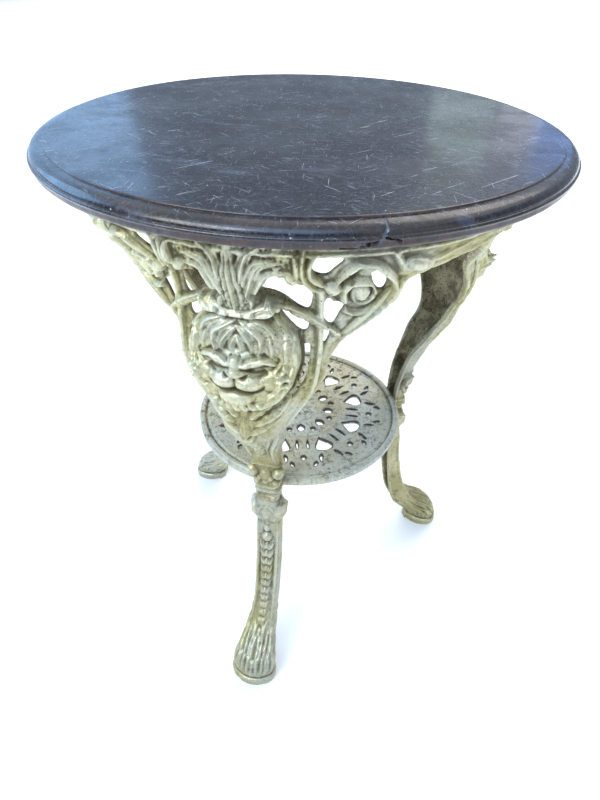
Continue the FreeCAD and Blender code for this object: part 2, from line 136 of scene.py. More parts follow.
class Sheet:
    """A relief over a rectangle of x (columns) and z (rows), with pierced openings."""

    def __init__(self, x, z):
        self.x = x
        self.z = z
        self.X, self.Z = np.meshgrid(x, z)
        self.h = np.zeros_like(self.X)
        self.open = np.full_like(self.X, 1e3)

    def window(self, x0, x1, z0, z1):
        j = slice(*np.searchsorted(self.x, (x0, x1)))
        i = slice(*np.searchsorted(self.z, (z0, z1)))
        return i, j

    def around(self, p, reach):
        """Window that holds the points of a curve, with some room."""
        (x0, z0), (x1, z1) = p.min(0) - reach, p.max(0) + reach
        return self.window(x0, x1, z0, z1)

    def layer(self):
        return np.zeros_like(self.h)

    def spot(self, x, z, a, b, tilt, room):
        """Window round an oval, with each point's squared distance from its middle: 1 is the outline."""
        reach = max(a, b) + room
        win = self.window(x - reach, x + reach, z - reach, z + reach)
        c, s = math.cos(math.radians(tilt)), math.sin(math.radians(tilt))
        dx, dz = self.X[win] - x, self.Z[win] - z
        return win, ((dx * c + dz * s) / a) ** 2 + ((dz * c - dx * s) / b) ** 2

    def dome(self, layer, x, z, a, b, height, tilt=0, power=0.6):
        win, r2 = self.spot(x, z, a, b, tilt, 1)
        layer[win] = np.maximum(layer[win], height * np.clip(1 - r2, 0, 1) ** power)

    def ring(self, layer, x, z, a, b, width, height, tilt=0):
        win, r2 = self.spot(x, z, a, b, tilt, width + 1)
        layer[win] = np.maximum(layer[win], bead((np.sqrt(r2) - 1) * min(a, b), width, height))

    def near(self, points, reach):
        """Window round a curve, with each point's distance, place along it and side."""
        p = spline(points)
        win = self.around(p, reach)
        X, Z = self.X[win], self.Z[win]
        best = np.full(X.shape, 1e9)
        along = np.zeros(X.shape)
        side = np.zeros(X.shape)
        steps = np.hypot(*np.diff(p, axis=0).T)
        total = max(steps.sum(), 1e-6)
        start = np.concatenate([[0], np.cumsum(steps)]) / total
        for k, (a, b) in enumerate(zip(p[:-1], p[1:])):
            d = b - a
            t, ex, ez = from_span(X, Z, a, b)
            dist = ex * ex + ez * ez
            closer = dist < best
            best = np.where(closer, dist, best)
            along = np.where(closer, start[k] + t * steps[k] / total, along)
            side = np.where(closer, d[0] * (Z - a[1]) - d[1] * (X - a[0]), side)
        return win, np.sqrt(best), along, np.sign(side)

    def stroke(self, layer, points, width, height, taper="both", strands=0, sharp=0.6, teeth=0, over=False):
        """A raised stroke; strands carve it into parallel locks, teeth notch its edges.

        One laid over the others hides what it covers."""
        win, dist, along, side = self.near(points, width + 1)
        thin = TAPERS[taper](along)
        if teeth:
            thin = thin * (0.78 + 0.22 * np.abs(np.sin(np.pi * teeth * along)))
        r = dist / (width * thin)
        body = np.clip(1 - r ** 2, 0, 1) ** sharp
        if strands:
            body = body * (0.72 + 0.28 * np.cos(np.pi * strands * r * side))
        raised = height * body * thin ** 0.6
        if over:
            cover = np.clip((1 - r ** 2) * 3, 0, 1)
            layer[win] = layer[win] * (1 - cover) + np.maximum(raised, 0.35 * layer[win]) * cover
        else:
            layer[win] = np.maximum(layer[win], raised)

    def strokes(self, layer, rows):
        for row in rows:
            self.stroke(layer, *row)

    def groove(self, points, width, depth, taper="both"):
        win, dist, along, _ = self.near(points, width + 1)
        thin = TAPERS[taper](along)
        r = dist / (width * thin)
        self.h[win] -= depth * np.clip(1 - r ** 2, 0, 1) ** 1.5 * thin

    def pierce(self, points):
        """An opening with the smooth closed outline through the points."""
        p = spline(list(points) + [points[0]], 6)
        win = self.around(p, 14)
        X, Z = self.X[win], self.Z[win]
        best = np.full(X.shape, 1e9)
        inside = np.zeros(X.shape, bool)
        for a, b in zip(p[:-1], p[1:]):
            _, ex, ez = from_span(X, Z, a, b)
            best = np.minimum(best, ex ** 2 + ez ** 2)
            run, rise = b - a
            at = a[0] + (Z - a[1]) * run / (rise if abs(rise) > 1e-9 else 1e-9)
            inside ^= ((a[1] > Z) != (b[1] > Z)) & (X < at)
        dist = np.sqrt(best)
        self.open[win] = np.minimum(self.open[win], np.where(inside, -dist, dist))


def closed_oval(x, z, a, b, tilt):
    """Ten points round a tilted oval, and the first one again."""
    c, s = math.cos(math.radians(tilt)), math.sin(math.radians(tilt))
    out = []
    for k in range(10):
        q = 2 * math.pi * k / 10
        dx, dz = a * math.cos(q), b * math.sin(q)
        out.append((x + dx * c - dz * s, z + dx * s + dz * c))
    return out + [out[0]]


def shell_mesh(name, front, back, keep, inner_flag, cavity):
    """A closed mesh from a front and a back grid of points, kept where keep is true."""
    rows, columns = keep.shape
    number = np.arange(rows * columns).reshape(rows, columns)
    a, b = number[:-1, :-1], number[:-1, 1:]
    c, d = number[1:, 1:], number[1:, :-1]
    ka, kb, kc, kd = keep[:-1, :-1], keep[:-1, 1:], keep[1:, 1:], keep[1:, :-1]
    count = ka.astype(int) + kb + kc + kd
    full = count == 4
    quads = np.stack([a[full], b[full], c[full], d[full]], -1)
    tris = []
    for missing, corners in ((ka, (b, c, d)), (kb, (a, c, d)), (kc, (a, b, d)), (kd, (a, b, c))):
        pick = (count == 3) & ~missing
        tris.append(np.stack([v[pick] for v in corners], -1))
    tris = np.vstack(tris)
    edges = np.vstack([quads[:, [0, 1]], quads[:, [1, 2]], quads[:, [2, 3]], quads[:, [3, 0]],
                       tris[:, [0, 1]], tris[:, [1, 2]], tris[:, [2, 0]]])
    key = np.sort(edges, 1)
    key = key[:, 0] * (rows * columns) + key[:, 1]
    _, first, uses = np.unique(key, return_index=True, return_counts=True)
    rim = edges[first[uses == 1]]
    total = rows * columns
    walls = np.stack([rim[:, 1], rim[:, 0], rim[:, 0] + total, rim[:, 1] + total], -1)
    points = np.vstack([front.reshape(-1, 3), back.reshape(-1, 3)])
    loops = np.concatenate([quads.ravel(), tris.ravel(), (quads[:, ::-1] + total).ravel(),
                            (tris[:, ::-1] + total).ravel(), walls.ravel()])
    sizes = np.concatenate([np.full(len(quads), 4), np.full(len(tris), 3), np.full(len(quads), 4),
                            np.full(len(tris), 3), np.full(len(walls), 4)])
    used, loops = np.unique(loops, return_inverse=True)
    marks = {"cavity": np.concatenate([cavity.ravel(), np.zeros(total)])[used],
             "inner": np.concatenate([np.zeros(total), np.full(total, inner_flag)])[used]}
    return mesh_of(name, points[used] * MM, loops, sizes, marks)


def mesh_of(name, points, loops, sizes, marks):
    mesh = bpy.data.meshes.new(name)
    mesh.vertices.add(len(points))
    mesh.vertices.foreach_set("co", points.astype(np.float32).ravel())
    mesh.loops.add(len(loops))
    mesh.loops.foreach_set("vertex_index", loops.astype(np.int32).ravel())
    mesh.polygons.add(len(sizes))
    starts = np.concatenate([[0], np.cumsum(sizes)[:-1]])
    mesh.polygons.foreach_set("loop_start", starts.astype(np.int32))
    mesh.update(calc_edges=True)
    mesh.validate()
    for key, values in marks.items():
        attribute = mesh.attributes.new(key, "FLOAT", "POINT")
        attribute.data.foreach_set("value", np.asarray(values, np.float32))
    mesh.shade_smooth()
    mesh.set_sharp_from_angle(angle=SHARP_ANGLE)
    return mesh


def snap(g):
    """Moves of grid points, in grid steps, that bring near ones on to the line g = 0, and which to keep."""
    gi, gj = np.gradient(g)
    n2 = np.maximum(gi ** 2 + gj ** 2, 1e-9)
    close = np.abs(g) / np.sqrt(n2) < 0.5
    di = np.where(close, -g * gi / n2, 0)
    dj = np.where(close, -g * gj / n2, 0)
    return di, dj, (g > 0) | close


def along_grid(P, di, dj):
    """Points moved by part of a grid step."""
    down, across = np.gradient(P, axis=(0, 1))
    return P + down * di[..., None] + across * dj[..., None]


# ---- casting: base surface

SHEET_SPREAD = 1.08     # mm across the casting for one unit across its relief sheet

# height, front, radius of the front's curve, place, width and turn (degrees) of the shoulder, half width
CASTING_SECTIONS = (
    (710, 247, 247, 73, 20, 0, 258.4),
    (690, 246, 246, 73, 20, 0, 257.4),
    (683, 245.5, 245.5, 73, 20, 0, 257),
    (679, 244, 244, 73, 20, 0, 248),
    (672, 238, 238, 73, 20, 0, 220),
    (664, 230, 230, 73, 20, 0, 190),
    (655, 223, 223, 73, 20, 0, 166),
    (648, 219, 219, 73, 18, 0, 151),
    (640, 216, 216, 73, 17, 2, 147),
    (630, 214, 214, 73, 16, 4, 144),
    (615, 213, 213, 73, 14, 9, 132),
    (600, 213, 213, 73, 12, 17, 116),
    (585, 214, 205, 73, 10, 30, 101),
    (570, 218, 185, 73, 9, 42, 93),
    (555, 223, 150, 73, 8, 47, 87),
    (540, 228, 108, 72, 8, 33, 82),
    (525, 231, 84, 69, 8, 25, 76),
    (510, 232, 64, 62, 8, 20, 71),
    (495, 232, 52, 55, 8, 17, 65),
    (480, 231, 42, 47, 8, 16, 59),
    (465, 226, 34, 40, 8, 14, 53),
    (450, 214, 30, 34, 8, 14, 48),
    (435, 200, 40, 28, 8, 37, 44),
    (420, 191, 60, 22, 7, 62, 41),
    (400, 182, 80, 18, 6, 72, 38),
    (375, 175, 100, 16.5, 6, 76, 35.5),
    (345, 170, 100, 15, 6, 80, 33),
    (310, 169, 100, 14, 6, 80, 31.5),
    (270, 169, 100, 15.5, 6, 78, 32.5),
    (200, 175, 100, 16, 6, 78, 33.5),
    (170, 180, 100, 16, 6, 78, 35),
    (140, 186, 100, 16, 6, 78, 37),
    (115, 194.5, 100, 16, 6, 78, 41),
    (95, 203, 90, 17, 6, 76, 46),
    (75, 215.5, 70, 19, 7, 72, 53),
    (56, 238, 50, 23, 9, 63, 66),
    (41, 261, 45, 29, 11, 50, 82),
    (28, 273, 42, 34, 12, 42, 92),
    (14, 277, 40, 36, 12, 40, 97),
)


def section_values(z):
    """The section's numbers at each height, smoothed along the leg."""
    table = np.array(CASTING_SECTIONS, float)[::-1]
    fine = np.arange(-30, 741, 1)
    columns = []
    for k, sigma in enumerate((5, 5, 5, 5, 5, 1.5), 1):
        values = np.interp(fine, table[:, 0], table[:, k])
        values = blur(values[:, None], sigma, 0.3)[:, 0]
        columns.append(np.interp(z, fine, values))
    return columns


def casting_base(x, z):
    """Points of the base surface for one half of the casting, and its half width at each height."""
    front, radius, place, width, turn, half = (v[:, None] for v in section_values(z))
    fine = np.arange(0, x[-1] + 1, 0.5)
    heading = fine / radius + np.radians(turn) / (1 + np.exp(-(fine - place) * 4 / width))
    step = fine[1] - fine[0]

    def running(v):
        mid = (v[:, 1:] + v[:, :-1]) / 2 * step
        return np.concatenate([np.zeros((len(v), 1)), np.cumsum(mid, 1)], 1)

    u = front - running(np.sin(heading))
    t = running(np.cos(heading))
    points = np.zeros((len(z), len(x), 3))
    for i in range(len(z)):
        points[i, :, 0] = np.interp(x, fine, u[i])
        points[i, :, 1] = np.interp(x, fine, t[i])
    points[:, :, 2] = z[:, None]
    return points, half


def directions(points):
    down, across = np.gradient(points, axis=(0, 1))
    n = np.cross(across, down)
    return n / np.maximum(np.linalg.norm(n, axis=2, keepdims=True), 1e-9)


# ---- casting: ornament

FRET_OPENINGS = (   # beside the mask, from the middle outwards
    [(10, 653), (18, 662), (27, 666), (36, 664), (41, 656), (49, 654), (55, 649), (58, 641), (57, 630),
     (54, 625), (47, 628), (41, 633), (34, 639), (26, 643), (17, 645)],
    [(27, 634), (31, 635), (36, 626), (44, 620), (51, 616), (55, 610), (53, 602), (46, 604), (38, 613),
     (31, 624)],
    [(67, 635), (75, 635), (85, 627), (82, 618), (77, 607), (71, 610), (67, 618)],
    [(67, 606), (73, 602), (75, 595), (72, 587), (68, 591)],
    [(66, 689), (79, 689), (87, 687), (80, 677), (71, 666), (63, 670), (62, 682)],
    [(81, 656), (87, 671), (94, 680), (102, 680), (98, 669), (89, 659)],
    [(107, 668), (112, 672), (118, 664), (121, 650), (119, 639), (112, 643), (108, 655)],
    [(52, 588), (57, 586), (58, 565), (56, 549), (50, 535), (45, 531), (50, 546), (53, 562), (53, 577)],
)


def swelling(s):
    """Rise of the ground behind the collar."""
    mound = s.layer()
    s.dome(mound, 0, 640, 40, 44, 15, 0, 0.9)
    s.dome(mound, 0, 636, 25, 30, 16, 0, 0.8)
    return mound


def sculpt_apron(s):
    """Rail, scrolls, acanthus and fronds of the apron."""
    rail = s.layer()
    for height, half, rise in ((706.5, 3, 1.8), (698, 1.4, 1.2), (692, 2.4, 2.6)):
        rail = np.maximum(rail, bead(s.Z - height, half, rise))
    s.h += rail
    scroll = s.layer()
    eye_x, eye_z = 98, 644
    spiral = []
    for k in range(27):
        q = math.radians(200 - 21 * k)
        r = 1 - 0.026 * k
        spiral.append((eye_x + 15.5 * r * math.cos(q), eye_z + 21 * r * math.sin(q)))
    s.dome(scroll, eye_x, eye_z, 8.2, 10.5, 8.5, 0, 0.5)
    s.dome(scroll, 75, 654, 7.6, 8, 10, 30, 0.55)
    s.dome(scroll, 147, 675, 12, 6.5, 6.5, -20)
    s.ring(scroll, 147, 675, 13.5, 8, 1.6, 3.8, -20)
    s.strokes(scroll, (
        # great scroll: from the leaf bulb over the top and down into the acanthus on the arch
        ([(71, 650), (78, 659), (87, 675), (97, 684), (108, 684), (118, 675), (126, 655), (130, 634),
          (125, 618), (113, 606)], 4.6, 8, "both", 1),
        (spiral, 3.6, 8.5, "tip"),
        ([(72, 640), (80, 628), (91, 619), (103, 619), (112, 628)], 3.6, 6.5, "both", 1),
        ([(57, 700), (55, 684), (55, 670), (58, 656), (64, 646)], 4.2, 8.5, "both", 1),
        ([(66, 694), (61, 684), (61, 672), (66, 660), (73, 652)], 3.2, 7),
        # acanthus along the arch edge, with its raised midrib
        ([(136, 654), (129, 632), (115, 613), (98, 596), (88, 582)], 9.5, 6.5, "leaf", 2, 0.5, 11),
        ([(126, 645), (114, 627), (103, 614), (86, 592)], 3.4, 9, "both", 1),
        ([(122, 694), (130, 684), (134, 668)], 3.4, 6, "both", 1),
        ([(160, 677), (180, 683), (205, 688)], 3, 2.6, "tip"),
        # arm from the collar to the arch, with a notched lower edge
        ([(18, 638), (30, 636), (40, 627), (50, 620), (60, 615), (74, 602), (86, 590)], 6.6, 6.5, "both",
         0, 0.5, 13),
        ([(18, 642), (30, 639), (41, 630), (54, 622), (72, 606), (85, 594)], 2.6, 8.4),
        # fluted fronds that sweep up and out of the collar
        ([(3, 632), (6, 662), (13, 687), (24, 697), (40, 698)], 6, 6, "leaf", 2, 0.5),
        ([(6, 630), (10, 658), (20, 679), (32, 684), (47, 683)], 7, 7.2, "leaf", 3, 0.45, 0, True),
        ([(10, 629), (14, 651), (22, 669), (33, 673), (46, 671)], 5.6, 8.2, "leaf", 2, 0.45, 0, True),
        ([(50, 694), (51, 682), (49, 668)], 3, 9),
    ))
    s.dome(scroll, 46, 670, 6.6, 6.6, 9)
    s.h = np.maximum(s.h, scroll) + 0.25 * np.minimum(s.h, scroll) + swelling(s)
    for k in range(9):
        c, w = math.cos(2 * math.pi * k / 9), math.sin(2 * math.pi * k / 9)
        s.groove([(eye_x + 1.5 * c, eye_z + 2 * w), (eye_x + 6.5 * c, eye_z + 8.6 * w)], 0.9, 1.3, "even")


def sculpt_palmette(s):
    leaf = s.layer()
    s.strokes(leaf, (([(0, 626), (0, 660), (0, 684), (0, 706)], 9.5, 8.5, "leaf", 3, 0.5, 7),
                     ([(0, 628), (0, 664), (0, 700)], 1.8, 9.5, "leaf")))
    s.h = np.where(leaf > 0.4, swelling(s) + leaf, s.h)


MANE = (
    # from the back row to the front one, along each lock from its root, half width and rise
    ([(30, 50), (41, 38), (44, 22), (42, 6), (45, -2)], 6, 5.4),
    ([(43, 24), (45, 8), (43, -8), (38, -20), (40, -27)], 5.4, 5),
    ([(42, -4), (42, -18), (36, -32), (28, -42), (27, -48)], 5.2, 5),
    ([(37, -24), (32, -38), (22, -48), (13, -54), (9, -60)], 5, 4.8),
    ([(18, 56), (30, 47), (36, 34), (36, 20), (31, 10), (34, 2)], 6.6, 6.4),
    ([(37, 28), (38, 14), (36, 0), (31, -9), (33, -17)], 5.6, 6),
    ([(35, -2), (36, -14), (32, -26), (25, -34), (24, -41)], 5, 5.4),
    ([(6, 52), (17, 46), (26, 36), (28, 24), (24, 13), (28, 6)], 6.4, 6.6),
    ([(24, 30), (28, 18), (27, 8), (31, -1)], 5, 6.2),
    ([(1, 46), (10, 40), (18, 31), (20, 20), (16, 11), (20, 4)], 5.8, 6.4),
    ([(0, 40), (6, 34), (12, 25), (12, 15), (8, 8)], 5, 6),
    ([(0, 31), (3, 24), (4, 16), (1, 9)], 4.2, 5.4),
)


def sculpt_mask(s):
    """Lion mask: dome in a cowl, waving mane, heavy brow low on the face, broad muzzle, jaw."""
    half_width, half_height = 50, 60
    cz = 577
    r = np.sqrt((s.X / half_width) ** 2 + ((s.Z - cz) / half_height) ** 2)
    cowl = bead(np.clip((r - 0.8) / 0.2, 0, 1), 1, 14)
    dome = bead(r, 0.88, 12, 0.55)
    s.h = np.where(r < 1, np.maximum(cowl + dome, s.h * 0.2), s.h)
    rings = s.layer()
    for at, rise in ((0.985, 2.2), (0.93, 1.9), (0.88, 1.6)):
        rings = np.maximum(rings, bead((r - at) * half_width, 1.5, rise) * ease((s.X - 22) / 12))
    s.h += rings

    def here(points):
        return [(x, z + cz) for x, z in points]

    def carve(*rows):
        for points, *size in rows:
            s.groove(here(points), *size)

    # the mane is drawn on gently bent coordinates, so that its locks wave
    straight = s.X, s.Z
    s.X = s.X + 1.2 * np.sin(s.Z / 5 + 0.07 * s.X) * ease(s.X / 6)
    s.Z = s.Z + 1.2 * np.sin(straight[0] / 4.6 + 0.05 * s.Z)
    mane = s.layer()
    for points, width, rise in MANE:
        s.stroke(mane, here(points), width, rise * 1.25, "leaf", 2, 0.5, 0, True)
    s.X, s.Z = straight
    s.h += mane * ease((r - 0.05) / 0.3)
    # soft forms of the face: forehead and cheek, brow and nose, then muzzle and chin
    face = s.layer()
    s.dome(face, 0, cz + 2, 13, 15, 4.5, 0, 0.9)
    s.dome(face, 28, cz - 19, 9, 11, 5, -14, 0.8)
    s.h += face
    face = s.layer()
    s.stroke(face, here([(1, -3), (7, -5), (14, -1), (22, 2), (31, -3)]), 6, 8, "both", 0, 0.8)
    s.stroke(face, here([(0, 8), (0, -4), (0, -14)]), 6.4, 7.5, "both", 0, 0.8)
    s.h += face
    muzzle = s.layer()
    for x, drop, *size in ((0, 14.5, 10.5, 6.4, 9, 0, 0.8), (8.5, 22.5, 13.5, 8.6, 8.6, 6, 0.75),
                           (0, 23, 7, 6, 6, 0, 0.8), (0, 38, 14.5, 9, 8, 0, 0.75)):
        s.dome(muzzle, x, cz - drop, *size)
    s.h += muzzle
    carve(([(8, -10), (15, -10.5), (25, -12)], 5.6, 6))
    eye = s.layer()
    s.dome(eye, 16, cz - 9.5, 5.2, 3.2, 4.6, 8)
    s.stroke(eye, here([(9, -12), (16, -13.5), (24, -11)]), 1.5, 3.6)
    s.h += eye
    # beside the nose, nostril, parting of the lip, whisker pits, chin
    carve(([(2.6, -6), (3.6, 2), (3, 10)], 1.5, 2.6),
          ([(3.6, -17), (6.8, -17.5), (9.5, -14)], 2, 4.6),
          ([(0, -20), (0, -30)], 1.5, 2.8, "even"),
          *(([(6 + 3.5 * k, -21 + 0.5 * k), (9 + 4 * k, -24 - 0.5 * k)], 0.9, 1) for k in range(3)),
          *(([(x, -36), (x + 0.5, -41), (x - 1.5, -46)], 1, 1.3) for x in (3.5, 8, 12)),
          ([(0, -30), (7, -32), (14, -31.5), (20, -28), (23, -22)], 2.4, 6, "tip"),
          ([(0, -46), (7, -45), (13, -40), (16, -34)], 1.8, 3, "tip"))
    beard = s.layer()
    for x, lean, low in ((14.5, 4, -50), (9.5, 3, -55), (4.8, 1.6, -58), (0, 0, -60)):
        lock = here([(x, -42), (x + lean, (low - 42) / 2), (x + lean * 0.3, low)])
        s.stroke(beard, lock, 3.6, 5.6, "leaf", 1, 0.6, 0, True)
    # two curls beside the muzzle
    for z in (-17, -24):
        s.stroke(beard, here([(29, z - 1.5), (34, z + 1.2), (40, z + 0.5), (43, z - 3)]), 3, 5)
    s.h += beard


def sculpt_collar(s):
    """Rolled ribbon across the top of the mask, ending in an almond scroll at each side."""
    s.stroke(s.h, [(0, 631), (8, 631), (15, 633), (22, 636)], 6.8, 26, "even", 0, 0.3, 0, True)
    lobe = s.layer()
    s.dome(lobe, 20.5, 635.5, 15.5, 8.6, 27.5, 27, 0.26)
    s.h = np.maximum(s.h, lobe)
    s.groove(closed_oval(22.5, 636.5, 9.6, 4.4, 27), 2.3, 5.2, "even")
    s.groove([(8, 624), (5.5, 631), (7, 638)], 1.4, 1.8)
    s.groove([(15, 634), (22, 637), (29, 641)], 1.3, 1.6)
    # narrow clefts round the collar are cast full
    full = np.maximum(s.h, blur(s.h, 3.5, 3) - 1.2)
    near = np.exp(-((s.Z - 641) / 15) ** 2) * ease((38 - s.X) / 10)
    s.h += near * (full - s.h)


def sculpt_knee(s):
    """Corner stems and the smooth panels beside and under the mask."""
    stem = s.layer()
    s.strokes(stem, (
        ([(65, 648), (65, 620), (65, 590), (65, 565), (64, 540), (58, 514), (48, 488), (37, 464)],
         4, 5.6, "tip"),
        ([(84, 582), (77, 562), (74, 540), (67, 514), (56, 488)], 3, 2),
        ([(4, 478), (16, 489), (28, 497), (38, 508)], 4.6, 3.8, "leaf", 0, 0.5, 4),
        ([(0, 472), (0, 490), (0, 505)], 5.6, 4.4, "leaf", 3)))
    # broad leaves that lap up beside the jaw, each with a midrib
    for points, width, rise in (([(6, 503), (15, 516), (26, 529), (36, 545)], 6.6, 6),
                                ([(10, 494), (24, 505), (35, 516), (46, 534)], 6, 5)):
        s.stroke(stem, points, width, rise, "leaf", 0, 0.5, 5)
        s.stroke(stem, points, 1.6, rise + 1.4, "leaf")
    s.h = np.maximum(s.h, stem)


def sculpt_shaft(s):
    """Everything below the mask: florets, capital, neck, knuckle, and husks down to the hoof."""
    # capital, two beads under it, then the knuckle
    lip = bead(s.Z - 380 + 0.02 * s.X ** 2, 2.8, 2.2)
    work = np.maximum(s.layer(), lip * ease((30 - s.X) / 6))
    for height, half, rise in ((322, 3.2, 2.6), (314, 2.2, 1.6)):
        work = np.maximum(work, bead(s.Z - height, half, rise) * (s.X < 42))
    work = np.maximum(work, bead(s.Z - 281, 21, 3.4, 0.55) * ease((42 - s.X) / 14))
    s.strokes(work, (
        ([(34, 476), (24, 448), (15, 424), (13, 400), (15, 384)], 2.4, 3.6),
        ([(26, 480), (18, 452), (10, 426), (8.5, 400)], 1.5, 2.2),
        ([(0, 328), (8, 331), (16, 340), (24, 352)], 3.2, 3.4),
        ([(0, 296), (7, 290), (11, 276), (8, 262)], 2.6, 6.2),
        ([(13.5, 262), (12.4, 200), (12.2, 150), (13, 90), (16.5, 58)], 2.3, 3.4)))
    # florets and leaves that drop down the front
    for k in range(4):
        z = 468 - 19 * k
        w = 9 - 1 * k
        s.dome(work, 0, z, 3.6, 4.6, 3.4)
        s.strokes(work, (([(1, z - 3), (w * 0.55, z + 3), (w, z + 11)], 2.6, 3.2, "leaf"),
                         ([(0, z - 4), (w * 0.5, z - 8), (w * 0.9, z - 6)], 2.4, 3, "leaf"),
                         ([(0, z - 4), (0, z - 15)], 1.7, 2.6)))
    # a curl at each side of the neck, and berries between them
    s.ring(work, 16.5, 362, 4.6, 6.6, 1.6, 7.4)
    for x, z, r in ((0, 344, 4.2), (6.4, 351, 3.8), (10.6, 342, 3.4), (0, 366, 3.4)):
        s.dome(work, x, z, r, r * 1.25, 5.2)
    # a roll at each side of the knuckle, its knot, and two berries below
    s.ring(work, 19, 285, 6.5, 10, 1.9, 9.2, -14)
    for spot in ((16.5, 360, 8, 12, 6.6, 0, 0.5), (0, 355, 7, 18, 3.2), (18, 283, 11, 17, 8.5, -14, 0.5),
                 (0, 276, 7.5, 13, 5.2, 0, 0.55), (0, 246, 4.2, 6, 4.6), (0, 230, 7, 8.6, 6.4, 0, 0.5)):
        s.dome(work, *spot)
    # chain of husks that shrinks towards the hoof
    z, size = 212, 1
    while z > 74:
        s.dome(work, 0, z - 1, 3.6 * size, 6.5 * size, 5 * size)
        s.strokes(work, (
            ([(0, z - 9 * size), (5 * size, z - 5 * size), (8 * size, z + 5 * size),
              (7.4 * size, z + 11 * size)], 2.5 * size, 4.4 * size, "leaf"),
            ([(1, z - 7 * size), (4 * size, z), (5 * size, z + 8 * size)], 1.5 * size, 4.6 * size, "leaf")))
        z -= 16.5 * size
        size *= 0.955
    s.h = np.maximum(s.h, work)


def sculpt_hoof(s):
    """Tufts of hair over the hoof, and the ledge of its sole."""
    hair = s.layer()
    draw = np.random.default_rng(5)
    for top, low, count, rise in ((76, 46, 9, 2.6), (60, 30, 13, 2.8), (44, 15, 17, 3)):
        for k in range(count):
            x = (k + 0.5 * draw.random()) * 88 / count * (0.45 + 0.55 * (80 - (top + low) / 2) / 50)
            sway = draw.uniform(-2.5, 3.5)
            a, b = top + draw.uniform(-5, 5), low + draw.uniform(-2, 6)
            s.stroke(hair, [(x, a), (x * 1.06 + sway, (a + b) / 2 + 3), (x * 1.16 + sway * 0.4, b)],
                     draw.uniform(2.4, 3.6), rise * draw.uniform(0.75, 1.2), "leaf", 0, 0.7)
    s.h = np.maximum(s.h, hair)
    s.h += 3.2 * ease((13 - s.Z) / 2) - bead(s.Z - 14.4, 1.8, 1.4, 1)


def leg_casting_mesh():
    """One half of the casting is sculpted, and the other is its mirror image."""
    x = spaced((0, 0.7), (61, 0.85), (125, 1.4), (261 / SHEET_SPREAD, 0))
    z = spaced((0, 1), (62, 1.15), (300, 1), (505, 0.8), (665, 0.9), (710, 0))
    s = Sheet(x, z)
    base, half = casting_base(x * SHEET_SPREAD, z)
    for opening in FRET_OPENINGS:
        s.pierce(opening)
    for sculpt in (sculpt_apron, sculpt_knee, sculpt_palmette, sculpt_mask, sculpt_collar, sculpt_shaft,
                   sculpt_hoof):
        sculpt(s)
    s.h = blur(s.h, 0.7, 0.7)
    outline = half - s.X * SHEET_SPREAD
    gi, gj = np.gradient(outline, z, x * SHEET_SPREAD)
    outline = outline / np.sqrt(gi ** 2 + gj ** 2)
    g = np.minimum(outline, s.open)
    di, dj, keep = snap(g)
    di[:, 0] = dj[:, 0] = 0
    di[0] = di[-1] = 0
    edge_distance = np.clip(g, 0, 30)
    # raised bead along the outer edge, and rounded arrises
    s.h += bead(outline - 3.2, 2.6, 1.6, 1) * (s.Z > 30)
    # the casting's skin, roughest on the bare ground beside the palmette and the mask
    rough = blur(rng.normal(0, 1, s.h.shape), 1.4, 1.4)
    ground = ease((2.2 - s.h) / 1.5) * ease((s.Z - 650) / 8) * ease((62 - s.X) / 12)
    beside = np.exp(-((s.X - 50) / 9) ** 2 - ((s.Z - 548) / 26) ** 2) * ease((2.5 - s.h) / 1.5)
    ground = np.maximum(ground, beside)
    waves = blur(rng.normal(0, 1, s.h.shape), 3.2, 3.2)
    skin, bare_skin, waviness = 0.17, 0.75, 0.22
    s.h += (skin + bare_skin * ground) * rough / rough.std() + waviness * waves / waves.std()
    arris = 1.3 * np.clip(1 - edge_distance / 1.6, 0, 1) ** 2
    normal = directions(base)
    smooth = np.dstack([blur(normal[..., k], 4, 7) for k in range(3)])
    smooth /= np.linalg.norm(smooth, axis=2, keepdims=True)
    thick = np.interp(z, (0, 60, 90, 430, 520, 710), (5, 4.5, 4.2, 4.2, 4.6, 4.8))[:, None]
    depth = thick + 1.5 * ease((5.5 - np.clip(outline, 0, 30)) / 2) - arris
    hollow = np.maximum(blur(s.h, 6, 6) - 3, 0) * 0.85 * ease((edge_distance - 5) / 5)
    # how far each point stands above or below its surroundings; the paint darkens the hollows with dirt and
    # painted shade and gives the ridges a painted highlight
    cavity = (s.h - blur(s.h, 2.6, 2.6)) * 0.7 + (s.h - blur(s.h, 8, 8)) * 0.3
    base = along_grid(base, di, dj)
    front = base + normal * (s.h - arris)[..., None]
    back = base - smooth * np.maximum(depth - hollow, 2.6 - s.h)[..., None]

    def mirrored(values, flip=False):
        left = values[:, :0:-1].copy()
        if flip:
            left[..., 1] *= -1
        return np.concatenate([left, values], 1)

    return shell_mesh("casting", mirrored(front, True), mirrored(back, True), mirrored(keep), 1,
                      mirrored(cavity))


def swept(rings):
    """A closed block through rings of points, as points and faces: sides between neighbours, and two ends."""
    n, last = len(rings[0]), len(rings) - 1
    faces = [(i * n + k, i * n + (k + 1) % n, (i + 1) * n + (k + 1) % n, (i + 1) * n + k)
             for i in range(last) for k in range(n)]
    faces += [tuple(range(n - 1, -1, -1)), tuple(range(last * n, (last + 1) * n))]
    return [p for ring in rings for p in ring], faces


def ring_block(r0, r1, z0, z1, a0, a1, steps):
    """A sector of a ring about the table's axis, between two angles in degrees."""
    bevel = 0.8
    section = [(r0 + bevel, z0), (r1 - bevel, z0), (r1, z0 + bevel), (r1, z1), (r0, z1), (r0, z0 + bevel)]
    return swept([[(r * math.cos(a), r * math.sin(a), h) for r, h in section]
                  for a in np.radians(np.linspace(a0, a1, steps))])


def prism_block(outline, low, high, place):
    """A prism; place turns (a, b, c) of the outline and its height into a point."""
    return swept([[place(a, b, c) for a, b in outline] for c in (low, high)])


